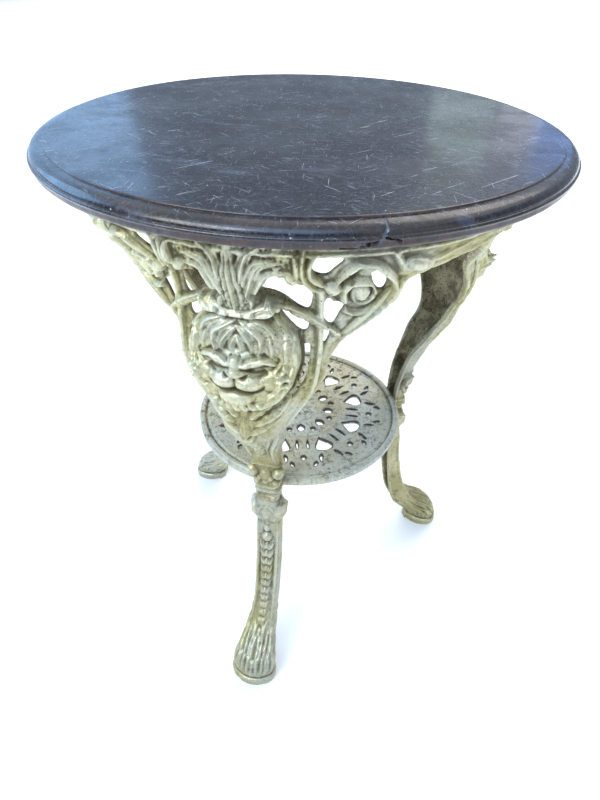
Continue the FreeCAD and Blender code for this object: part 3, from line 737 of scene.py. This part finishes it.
def joined(mesh, blocks):
    """Adds closed blocks, in millimetres, to a mesh, and keeps its attributes."""
    b = bmesh.new()
    b.from_mesh(mesh)
    inner = b.verts.layers.float.get("inner")
    for points, faces in blocks:
        made = [b.verts.new((p[0] * MM, p[1] * MM, p[2] * MM)) for p in points]
        for v in made:
            v[inner] = 0.8
        for f in faces:
            b.faces.new([made[k] for k in f])
    bmesh.ops.recalc_face_normals(b, faces=[f for f in b.faces if len(f.verts) > 4])
    b.to_mesh(mesh)
    b.free()
    mesh.set_sharp_from_angle(angle=SHARP_ANGLE)


def leg_blocks():
    """Seat, bolted ends of the apron, screw pads and the tongue that carries the shelf."""
    def upright(out, across, up):
        return out, across, up

    seat = TOP_UNDERSIDE - 7
    blocks = [ring_block(222, 247, seat, TOP_UNDERSIDE - 0.05, -59.8, 59.8, 90)]
    joint_angle, pad_angle, pad_place, pad_radius = 59.9, 38, 211, 11.5
    for side in (-1, 1):
        a = math.radians(side * joint_angle)

        def at_joint(out, up, along, a=a, side=side):
            along = -side * along
            return (out * math.cos(a) - along * math.sin(a), out * math.sin(a) + along * math.cos(a), up)

        outline = [(219, 679), (243, 679), (243, 704), (217, 704), (217, 684)]
        blocks.append(prism_block(outline, 0.2, 8, at_joint))
        b = math.radians(side * pad_angle)
        middle = pad_place * math.cos(b), pad_place * math.sin(b)
        pad = [(middle[0] + pad_radius * math.cos(q), middle[1] + pad_radius * math.sin(q))
               for q in np.linspace(0, 2 * math.pi, 24, endpoint=False)]
        blocks.append(prism_block(pad, seat + 0.2, TOP_UNDERSIDE - 0.1, upright))
    lug_top = SHELF_UNDERSIDE - 0.05
    tongue = [(128, -12), (172, -12), (172, 12), (128, 12), (122.5, 9), (120, 4), (120, -4), (122.5, -9)]
    blocks.append(prism_block(tongue, lug_top - 8, lug_top, upright))
    rib = [(171, lug_top - 4), (145, lug_top - 4), (145, lug_top - 10), (171, lug_top - 36)]
    blocks.append(prism_block(rib, -4, 4, lambda p, q, r: (p, r, q)))
    return blocks


# ---- materials

class Finish:
    """A procedural material that is built up node by node."""

    def __init__(self, name):
        self.material = bpy.data.materials.new(name)
        self.material.use_nodes = True
        self.tree = self.material.node_tree
        self.shader = self.tree.nodes["Principled BSDF"]
        self.place = self.add("ShaderNodeTexCoord").outputs["Object"]

    def add(self, kind, settings=None, **values):
        node = self.tree.nodes.new(kind)
        for key, value in (settings or {}).items():
            setattr(node, key, value)
        for key, value in values.items():
            self.put(node.inputs[key.replace("_", " ")], value)
        return node

    def put(self, socket, value):
        if isinstance(value, bpy.types.NodeSocket):
            self.tree.links.new(value, socket)
        else:
            socket.default_value = value

    def noise(self, scale, detail=4, rough=0.55, at=None, stretch=None):
        at = at or self.place
        if stretch:
            at = self.add("ShaderNodeMapping", None, Vector=at, Scale=stretch).outputs["Vector"]
        return self.add("ShaderNodeTexNoise", None, Vector=at, Scale=scale, Detail=detail,
                        Roughness=rough).outputs["Fac"]

    def cells(self, scale):
        return self.add("ShaderNodeTexVoronoi", None, Vector=self.place, Scale=scale).outputs["Distance"]

    def attribute(self, name):
        return self.add("ShaderNodeAttribute", {"attribute_name": name}).outputs["Fac"]

    def spread(self, value, low, high, to_low=0, to_high=1):
        node = self.add("ShaderNodeMapRange", {"interpolation_type": "SMOOTHSTEP"}, Value=value,
                        From_Min=low, From_Max=high, To_Min=to_low, To_Max=to_high)
        return node.outputs["Result"]

    def maths(self, kind, a, b):
        node = self.add("ShaderNodeMath", {"operation": kind})
        self.put(node.inputs[0], a)
        self.put(node.inputs[1], b)
        return node.outputs["Value"]

    def times(self, a, b):
        return self.maths("MULTIPLY", a, b)

    def plus(self, a, b):
        return self.maths("ADD", a, b)

    def most(self, a, b):
        return self.maths("MAXIMUM", a, b)

    def mix(self, share, a, b):
        node = self.add("ShaderNodeMix", {"data_type": "RGBA"})
        self.put(node.inputs["Factor"], share)
        self.put(node.inputs[6], a)
        self.put(node.inputs[7], b)
        return node.outputs[2]

    def coat(self, share, tint):
        """Lays a tint over the colour so far."""
        self.colour = self.mix(share, self.colour, tint)

    def bump(self, height, depth_mm):
        node = self.add("ShaderNodeBump", None, Height=height, Distance=depth_mm * MM, Strength=1)
        return node.outputs["Normal"]

    def set(self, **values):
        for key, value in values.items():
            self.put(self.shader.inputs[key.replace("_", " ")], value)


def rgb(r, g, b):
    return (r, g, b, 1)


def cast_paint_finish(name, *, highlight_colour, light, middle, silver, dark, inside_dark, inside_light, sheen, darken_low,
                      pitting):
    """Worn metallic paint on a casting: painted highlight on high spots, dirt and painted shade in the
    hollows, colour darker towards the bottom, rough dark back.
    """
    f = Finish(name)
    cavity = f.attribute("cavity")
    inner = f.spread(f.attribute("inner"), 0.25, 0.75)
    broad = f.noise(14, 5, 0.6)
    grain = f.noise(420, 3, 0.6)
    f.colour = f.mix(f.spread(broad, 0.38, 0.62), middle, light)
    tarnish = f.spread(f.noise(7, 4, 0.6), 0.44, 0.6, 0, 0.7)
    f.coat(tarnish, silver)
    f.coat(f.spread(grain, 0.45, 0.75, 0, 0.35), dark)
    # cavity with noise drives two marks: the hollows are darkened with dirt and painted shade, the ridges are
    # lightened with a painted highlight
    dirt_shade_highlight_key = f.plus(cavity, f.times(f.maths("SUBTRACT", f.noise(60, 4), 0.5), 1.6))
    dirt_and_shade = f.spread(dirt_shade_highlight_key, -1.7, -0.15, 0.94, 0)
    f.coat(dirt_and_shade, dark)
    # painted highlight: the raised spots are lightened towards the bright colour
    raised = f.spread(dirt_shade_highlight_key, 0.3, 1.6, 0, 0.6)
    f.coat(raised, highlight_colour)
    speck = f.times(f.spread(f.cells(150), 0.1, 0.2, 0.8, 0), f.spread(f.noise(24, 4), 0.5, 0.62))
    f.coat(speck, dark)
    eaten = f.spread(f.noise(105, 5, 0.75), 0.5, 0.63, 0, pitting)
    f.coat(f.times(eaten, f.spread(f.noise(12, 3), 0.4, 0.6, 0.35, 1)), dark)
    rust = f.times(f.spread(f.noise(32, 6, 0.74), 0.61, 0.7), 0.75)
    f.coat(rust, rgb(0.13, 0.075, 0.035))
    # colour made darker towards the bottom, from about 0.68 m down
    height = f.add("ShaderNodeSeparateXYZ", None, Vector=f.place).outputs["Z"]
    height = f.plus(height, f.times(f.noise(9, 3), 0.2))
    f.coat(f.spread(height, 0.48, 0.68, darken_low, 0), dark)
    inside = f.mix(f.spread(f.noise(40, 6, 0.7), 0.42, 0.62), inside_dark, inside_light)
    stain = f.spread(f.noise(17, 6, 0.72), 0.54, 0.66, 0, 0.55)
    inside = f.mix(stain, inside, rgb(0.085, 0.055, 0.034))
    scab = f.spread(f.noise(30, 6, 0.78, stretch=(1, 1, 0.6)), 0.56, 0.64, 0, 0.85)
    inside = f.mix(scab, inside, rgb(0.022, 0.017, 0.011))
    inside = f.mix(f.spread(f.cells(260), 0.12, 0.34, 0.92, 0), inside, rgb(0.012, 0.01, 0.008))
    f.coat(inner, inside)
    hidden = f.most(dirt_and_shade, inner)
    metal = f.spread(hidden, 0.1, 0.9, sheen, 0.06)
    rough = f.plus(f.spread(hidden, 0.1, 0.9, 0.38, 0.8), f.times(grain, 0.12))
    coarse = f.plus(f.noise(150, 4, 0.6), f.times(grain, 0.35))
    f.set(Base_Color=f.colour, Metallic=metal, Roughness=rough, Normal=f.bump(coarse, 1.3))
    return f.material


def steel_finish(name):
    f = Finish(name)
    broad = f.noise(80, 5, 0.65)
    fine = f.noise(900, 3, 0.6)
    f.colour = f.mix(f.spread(broad, 0.4, 0.65), rgb(0.36, 0.35, 0.33), rgb(0.16, 0.11, 0.075))
    f.set(Base_Color=f.colour, Metallic=f.spread(broad, 0.45, 0.6, 0.9, 0.35),
          Roughness=f.spread(broad, 0.4, 0.65, 0.38, 0.75), Normal=f.bump(fine, 0.12))
    return f.material


def wood_finish(name):
    """Near-black polish over dark wood, scratched, flecked and worn brown along the lower edge."""
    f = Finish(name)
    grain = f.noise(22, 6, 0.6, stretch=(1, 9, 1))
    broad = f.noise(5, 3, 0.5)
    worn, crack, dent = (f.attribute(mark) for mark in ("worn", "crack", "dent"))
    f.colour = f.mix(f.spread(grain, 0.35, 0.7), rgb(0.004, 0.0035, 0.007), rgb(0.014, 0.0075, 0.01))
    brown = f.mix(f.spread(f.noise(90, 5, 0.7), 0.4, 0.6), rgb(0.055, 0.02, 0.014),
                  rgb(0.016, 0.008, 0.008))
    edge = f.spread(f.plus(worn, f.maths("SUBTRACT", f.noise(50, 5, 0.7), 0.5)), 0.35, 0.75)
    f.coat(edge, brown)
    mottle = f.spread(f.noise(260, 5, 0.7), 0.48, 0.66)
    # bluish mottling of the colour: partly the polish's own mottle, partly painted reflection of a blue sky
    f.coat(f.times(mottle, 0.45), rgb(0.028, 0.036, 0.064))
    flecks = f.spread(f.cells(120), 0.03, 0.085, 1, 0)
    flecks = f.times(flecks, f.spread(f.noise(9, 3), 0.44, 0.58))
    specks = f.spread(f.cells(52), 0.02, 0.045, 1, 0)
    flecks = f.most(f.times(flecks, 0.5), specks)
    f.coat(f.times(flecks, 0.9), rgb(0.56, 0.57, 0.6))
    # scratches: noise drawn out into lines that run five ways
    scratch = None
    for angle, scale, stretch, low in ((0.6, 26, 42, 0.7), (2.2, 21, 36, 0.71), (1.4, 30, 50, 0.71),
                                       (2.9, 34, 60, 0.7), (0.1, 48, 40, 0.7)):
        at = f.add("ShaderNodeMapping", None, Vector=f.place, Rotation=(0, 0, angle)).outputs["Vector"]
        line = f.spread(f.noise(scale, 2, 0.5, at, (1, stretch, 1)), low, low + 0.03)
        scratch = line if scratch is None else f.most(scratch, line)
    normal = f.add("ShaderNodeTexCoord").outputs["Normal"]
    upward = f.add("ShaderNodeSeparateXYZ", None, Vector=normal).outputs["Z"]
    scratch = f.times(scratch, f.spread(upward, 0.85, 0.97, 0.12, 1))
    haze = f.spread(f.noise(11, 5, 0.65), 0.5, 0.72, 0, 0.22)
    # pale blue patches: hazy polish, tinted blue as a painted reflection of the sky
    haze_and_reflection = f.spread(f.noise(13, 5, 0.7, stretch=(1, 2.6, 1)), 0.6, 0.68, 0, 0.38)
    f.coat(haze_and_reflection, rgb(0.085, 0.105, 0.15))
    f.coat(f.times(scratch, 0.8), rgb(0.5, 0.53, 0.6))
    f.coat(f.times(dent, 0.6), rgb(0.1, 0.12, 0.15))
    f.coat(f.times(crack, 0.97), rgb(0.002, 0.0015, 0.0015))
    marks = f.most(f.most(scratch, edge), crack)
    rough = f.plus(f.spread(marks, 0, 1, 0.24, 0.45), haze)
    rough = f.plus(rough, f.times(mottle, 0.1))
    bumps = f.plus(f.times(broad, 1.2), f.times(f.plus(scratch, grain), -0.12))
    bumps = f.plus(bumps, f.times(mottle, 0.22))
    f.set(Base_Color=f.colour, Roughness=rough, Normal=f.bump(bumps, 0.35))
    f.set(Specular_IOR_Level=0.5, Coat_Weight=f.spread(f.noise(16, 6, 0.7), 0.38, 0.62, 0.85, 0.38),
          Coat_Roughness=0.15)
    return f.material


def floor_finish(name):
    f = Finish(name)
    f.set(Base_Color=rgb(0.86, 0.86, 0.86), Roughness=0.9)
    return f.material


# ---- undershelf

REPEAT = 40               # degrees: the pattern comes nine times
HALF_REPEAT = REPEAT / 2
TULIP_SIDE = ((71, 0), (77, 4.6), (83, 9.4), (90, 12), (95, 9.6), (97, 4.6), (97, 0))

# openings: degrees from the repeat's middle line, then corners as radius and distance across
MIDDLE_OPENINGS = (
    (0, TULIP_SIDE + tuple((r, -w) for r, w in TULIP_SIDE[-2:0:-1])),
    (HALF_REPEAT, [(106 + 3.6 * math.cos(q), 3.2 * math.sin(q)) for q in np.linspace(0, 5.6, 8)]),
    (HALF_REPEAT, ((37, 0), (42, 4.4), (48, 4), (51, 0), (48, -4), (42, -4.4))),
    (0, ((50, -3.4), (54, 0), (50, 3.4), (47, 0))),
)
SIDE_OPENINGS = (
    (5.5, ((103, 0), (106, 3.4), (111, 5), (117, 4.4), (112, 2.4), (107, 0.2))),
    (12.5, ((115, -2.5), (118, 0.9), (123, 2.2), (122, -0.6), (119, -3.2))),
    (14.2, ((72, -0.6), (80, 1.9), (89, 1.4), (80, -0.8))),
)
# ribs and engraved lines: where their middle line is, (radius, degrees) along them, half width, then
# height or depth
RIBS = (
    (0, ((68, 14), (80, 11.5), (92, 9.5), (100, 0)), 2.6, 1.3),
    (0, ((99, 0), (108, 2), (117, 7), (122, 11)), 2, 1.2),
    (HALF_REPEAT, ((30, 0), (40, 11), (52, 13), (60, 8)), 2.6, 1.4),
)
LINES = (
    (HALF_REPEAT, ((32, 4), (41, 16), (53, 18), (61, 9)), 0.9, 1.1),
    (HALF_REPEAT, ((44, 7), (55, 4), (60, 9)), 0.8, 1),
    (0, ((67, 17), (80, 15), (93, 13)), 0.9, 1.1),
    (0, ((66, 9), (72, 4), (80, 7), (92, 8)), 0.8, 0.9),
    (0, ((104, 6), (112, 8.5), (121, 7), (124, 2)), 0.9, 1.1),
)


def undershelf_mesh():
    """Pierced disc as a flat relief: x and z of the sheet are the disc's two directions."""
    reach = SHELF_RADIUS + 1.5
    lines = np.arange(-reach, reach + FRET_STEP, FRET_STEP)
    s = Sheet(lines, lines)
    radius = np.hypot(s.X, s.Z)

    def at(r, angle, across=0):
        a = math.radians(angle)
        return r * math.cos(a) - across * math.sin(a), r * math.sin(a) + across * math.cos(a)

    def run(marks, middle, side=1):
        return [at(r, middle + side * turn) for r, turn in marks]

    raised = s.layer()
    middles = [-90 + 38 + REPEAT * k for k in range(9)]
    for a in middles:
        for turn, corners in MIDDLE_OPENINGS:
            s.pierce([at(r, a + turn, w) for r, w in corners])
        s.dome(raised, *at(100, a), 2.4, 2.4, 1.6)
        s.stroke(raised, run(((24, 0), (33, 0)), a + HALF_REPEAT), 3, 1.6, "both", 1)
        s.stroke(raised, run(((4, 0), (13, 0), (21, 0)), a), 3.6, 3.2, "leaf", 1)
        for side in (-1, 1):
            for turn, corners in SIDE_OPENINGS:
                s.pierce([at(r, a + side * turn, side * w) for r, w in corners])
            for turn, marks, width, rise in RIBS:
                s.stroke(raised, run(marks, a + turn, side), width, rise, "both", 1)
    for r, half, rise in ((63.5, 2, 1), (135.8, 1.3, 1.2), (26, 1.6, 1)):
        raised = np.maximum(raised, bead(radius - r, half, rise))
    s.dome(raised, 0, 0, 6.5, 6.5, 4.2)
    s.h = raised
    for a in middles:
        for side in (-1, 1):
            for turn, marks, width, depth in LINES:
                s.groove(run(marks, a + turn, side), width, depth)
    # border: step down, groove, then the rolled rim
    s.h += -1 * ease((radius - 138) / 1.4) + 4.5 * ease((radius - 141.6) / 2.4)
    s.h -= 1.6 * ease((radius - 147.6) / 2.6)
    g = np.minimum(SHELF_RADIUS - radius, s.open)
    di, dj, keep = snap(g)
    rough = blur(rng.normal(0, 1, s.h.shape), 1.3, 1.3)
    s.h += 0.12 * rough / rough.std()
    # hollows of the relief, lowered along the edges of the openings for painted shade there; the paint
    # darkens low values and gives high ones a painted highlight
    cavity = s.h - blur(s.h, 2.4, 2.4) - 2.4 * np.clip(1 - s.open / 2.4, 0, 1)
    arris = 0.9 * np.clip(1 - np.clip(g, 0, 30) / 1.4, 0, 1) ** 2
    # the underside is lower at the rim and at the bosses for the legs
    extra = SHELF_PLATE_TOP - SHELF_PLATE - SHELF_UNDERSIDE
    under = SHELF_PLATE + extra * ease((radius - 139.5) / 3)
    boss_place, boss_radius = 132, 12.2
    for angle in LEG_ANGLES.values():
        boss_x, boss_z = at(boss_place, angle)
        off = np.hypot(s.X - boss_x, s.Z - boss_z)
        under = np.maximum(under, SHELF_PLATE + extra * ease((boss_radius - off) / 2))
    under = under - arris - 1.4 * ease((radius - 148.6) / 2)
    front = along_grid(np.dstack([s.X, s.Z, np.full_like(s.X, SHELF_PLATE_TOP)]), di, dj)
    back = front.copy()
    front[..., 2] += s.h - arris
    back[..., 2] -= under
    return shell_mesh("shelf", front, back, keep, 0, cavity)


# ---- table top

SPLIT_MIDDLE = -62        # degrees: the finest part of the grid
SPLIT_FROM = -64
# marks of the front edge: (distance from SPLIT_FROM along it, height), first and last half width, depth
DENTS = (([(3.4, 728.5), (1.6, 724), (-0.6, 719.5), (-2.4, 715)], 0.9, 3.4, 1),)
CRACKS = (([(1.6, 719.4), (6, 718.2), (10, 717.2), (13.6, 715.4)], 1.1, 0.9, 2.2),
          ([(-4.4, 717), (-10, 714.2), (-17, 711.8), (-24, 710.6), (-32, 711.4)], 1, 1.8, 2.6))


def top_profile():
    """Rows of (radius, height, wear), from the middle of the top over its edge to the middle below."""
    high, low, nose = TABLE_HEIGHT, TOP_UNDERSIDE, TOP_RADIUS
    profile = [(r, high, 0) for r in (*np.linspace(4, 250, 62), *np.linspace(252, 264, 8))]
    profile += [(264.3, high - 0.15, 0.4), (264.6, high - 0.7, 0.8), (264.7, high - 1.5, 0.8),
                (265.1, high - 1.65, 0.5), (265.9, high - 1.7, 0.2)]
    for q in np.linspace(0, math.pi / 2, 26)[1:]:
        profile.append((265.9 + 13 * math.sin(q), high - 1.7 - 7.6 * (1 - math.cos(q)), 0.1))
    for q in np.linspace(0, math.pi, 15):
        profile.append((nose - 1.9 + 1.85 * math.sin(q), low + 8.6 + 1.9 * math.cos(q), 0.3))
    profile += [(nose - 2.2, low + 6, 0.95), (nose - 2.2, low + 4, 1), (nose - 2.3, low + 2.2, 1),
                (nose - 3.4, low + 0.7, 0.9), (nose - 5, low, 0.7)]
    profile += [(r, low, 0.6) for r in np.linspace(nose - 12, 6, 30)]
    return np.array(profile)


def edge_marks(rows, along, H):
    """Depth of the marks drawn on the edge of the top."""
    layer = np.zeros_like(H)
    for path, first, last, depth in rows:
        p = spline(path)
        for k, (a, b) in enumerate(zip(p[:-1], p[1:])):
            t, ex, ez = from_span(along, H, a, b)
            width = first + (last - first) * (k + t) / len(p)
            layer = np.maximum(layer, bead(np.hypot(ex, ez), width, depth, 1))
    return layer


def table_top_mesh():
    """Turned top on a polar grid, with the cracks and the dent of its front edge."""
    profile = top_profile()
    fine, coarse, fine_reach = 0.14, 0.9, 17
    angles = [SPLIT_MIDDLE - 180]
    while angles[-1] < SPLIT_MIDDLE + 180:
        off = abs(angles[-1] - SPLIT_MIDDLE)
        step = fine if off < fine_reach else min(fine + (off - fine_reach) * 0.05, coarse)
        angles.append(angles[-1] + step)
    angles = np.radians(np.array(angles[:-1]))
    rows, columns = len(profile), len(angles)
    R, A = np.meshgrid(profile[:, 0], angles, indexing="ij")
    H = np.repeat(profile[:, 1:2], columns, 1)
    worn = np.repeat(profile[:, 2:3], columns, 1)
    edge_radius = 280
    along = (A - math.radians(SPLIT_FROM)) * edge_radius
    on_edge = (H > TOP_UNDERSIDE + 0.2) * (R > 262)
    dent = edge_marks(DENTS, along, H) * on_edge
    crack = edge_marks(CRACKS, along, H) * on_edge
    inwards = R - (crack + dent) * 0.85
    H = H - (crack + dent) * 0.5 * (H > TOP_UNDERSIDE + 9)
    points = np.dstack([inwards * np.cos(A), inwards * np.sin(A), H]).reshape(-1, 3)
    number = np.arange(rows * columns).reshape(rows, columns)
    a, d = number[:-1], number[1:]
    b, c = np.roll(a, -1, 1), np.roll(d, -1, 1)
    quads = np.stack([a.ravel(), d.ravel(), c.ravel(), b.ravel()], -1)
    loops = np.concatenate([quads.ravel(), number[0], number[-1][::-1]])
    sizes = np.concatenate([np.full(len(quads), 4), [columns, columns]])
    marks = {"worn": worn.ravel(), "crack": np.clip(crack, 0, 1).ravel(),
             "dent": np.clip(dent, 0, 1).ravel()}
    return mesh_of("top", points * MM, loops, sizes, marks)


# ---- assembly

def piece(name, mesh, material, node, turn=0):
    shown = bpy.data.objects.new(name, mesh)
    bpy.context.scene.collection.objects.link(shown)
    mesh.transform(Matrix.Rotation(math.radians(turn), 4, "Z"))
    mesh.materials.clear()
    mesh.materials.append(material)
    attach(shown, "root")
    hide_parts(node)


paint = cast_paint_finish(
    "champagne_paint", highlight_colour=rgb(0.8, 0.79, 0.6), light=rgb(0.67, 0.63, 0.375),
    middle=rgb(0.46, 0.42, 0.2), silver=rgb(0.53, 0.55, 0.49), dark=rgb(0.115, 0.1, 0.052),
    inside_dark=rgb(0.25, 0.215, 0.12), inside_light=rgb(0.6, 0.53, 0.33),
    sheen=0.78, darken_low=0.26, pitting=0.2)
shelf_paint = cast_paint_finish(
    "shelf_silver", highlight_colour=rgb(0.72, 0.7, 0.53), light=rgb(0.67, 0.64, 0.46),
    middle=rgb(0.48, 0.455, 0.315), silver=rgb(0.47, 0.52, 0.5), dark=rgb(0.055, 0.046, 0.036),
    inside_dark=rgb(0.1, 0.095, 0.08), inside_light=rgb(0.2, 0.19, 0.17),
    sheen=0.3, darken_low=0, pitting=0.75)
steel = steel_finish("zinc_steel")
wood = wood_finish("dark_polish")

casting = leg_casting_mesh()
joined(casting, leg_blocks())
for node, angle in LEG_ANGLES.items():
    piece("cast_" + node, casting.copy(), paint, node, angle)
bpy.data.meshes.remove(casting)
piece("pierced_shelf", undershelf_mesh(), shelf_paint, "undershelf")
piece("wood_top", table_top_mesh(), wood, "table_top")

for node in ("apron_bolts", "apron_washers", "apron_nuts", "shelf_bolts", "shelf_washers", "top_screws"):
    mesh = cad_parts[node].data
    mesh.materials.clear()
    mesh.materials.append(steel)


# ---- stage, light and camera

def stage():
    mesh = bpy.data.meshes.new("floor")
    side = 14
    corners = [(-side, -side, 0), (side, -side, 0), (side, side, 0), (-side, side, 0)]
    mesh.from_pydata(corners, [], [(0, 1, 2, 3)])
    floor = bpy.data.objects.new("floor", mesh)
    bpy.context.scene.collection.objects.link(floor)
    floor.location.z = -0.0005     # a hair below the feet
    mesh.materials.append(floor_finish("pale_floor"))


def area_light(name, place, target, size, power, colour):
    data = bpy.data.lights.new(name, "AREA")
    data.energy = power
    data.size = size
    data.color = colour
    lamp = bpy.data.objects.new(name, data)
    bpy.context.scene.collection.objects.link(lamp)
    lamp.location = place
    lamp.rotation_euler = (Vector(target) - Vector(place)).to_track_quat("-Z", "Y").to_euler()
    return lamp


def camera():
    """Stands to the right of the front leg and looks down; metres and degrees."""
    turn, pitch, yaw, roll = (math.radians(a) for a in (14, 39.75, 0.08, 1.15))
    stand_off, height = 0.65, 0.882
    data = bpy.data.cameras.new("camera")
    data.sensor_width = 36
    data.lens = 25.09
    cam = bpy.data.objects.new("camera", data)
    bpy.context.scene.collection.objects.link(cam)
    cam.location = (stand_off * math.sin(turn), -stand_off * math.cos(turn), height)
    heading = turn - yaw
    level = math.cos(pitch)
    forward = Vector((-math.sin(heading) * level, math.cos(heading) * level, -math.sin(pitch)))
    cam.rotation_mode = "QUATERNION"
    cam.rotation_quaternion = forward.to_track_quat("-Z", "Y") @ Quaternion((0, 0, 1), roll)
    bpy.context.scene.camera = cam


stage()
camera()
world = bpy.data.worlds.new("studio")
bpy.context.scene.world = world
world.use_nodes = True
background = world.node_tree.nodes["Background"]
background.inputs["Color"].default_value = rgb(0.62, 0.78, 1)
background.inputs["Strength"].default_value = 0.42

# name, place, aim (metres), size, power, colour; the windows and panes show in the polish of the top
WARM = (1, 0.96, 0.86)
for lamp in (("key", (-1.3, -2, 2.5), (0, 0, 0.45), 1.7, 58, WARM),
             ("ceiling", (0, 0, 6), (0, 0, 0), 12, 340, (1, 0.96, 0.88)),
             ("fill", (2.4, -1.7, 1.5), (0, 0, 0.4), 1.8, 8, WARM),
             ("window_left", (-2.7, 2.2, 1.55), (0, 0, 0.7), 2.3, 17, (0.3, 0.58, 1)),
             ("window_side", (-2.8, 0.2, 1.75), (0, 0, 0.7), 1.8, 34, (0.32, 0.6, 1)),
             ("window_right", (0.85, 3, 1.35), (0, 0, 0.7), 0.5, 0.9, (0.14, 0.34, 1)),
             ("pane_right", (0.5, 3, 1.4), (0, 0, 0.7), 0.24, 0.17, (0.86, 0.88, 0.95)),
             ("pane_middle", (0.18, 3, 1.45), (0, 0, 0.7), 0.36, 0.28, (0.72, 0.92, 0.84)),
             ("sky", (-0.3, -2.1, 3.4), (0, 0, 0.6), 3.2, 70, (0.26, 0.55, 1)),
             ("back", (0.7, 2.5, 3.3), (0, 0, 0.4), 2.2, 26, (1, 0.92, 0.8))):
    area_light(*lamp)
area_light("wash", (0, 9, 5), (0, 9, 0), 9, 1400, (1, 1, 1)).visible_glossy = False
bpy.context.scene.view_settings.view_transform = "Standard"
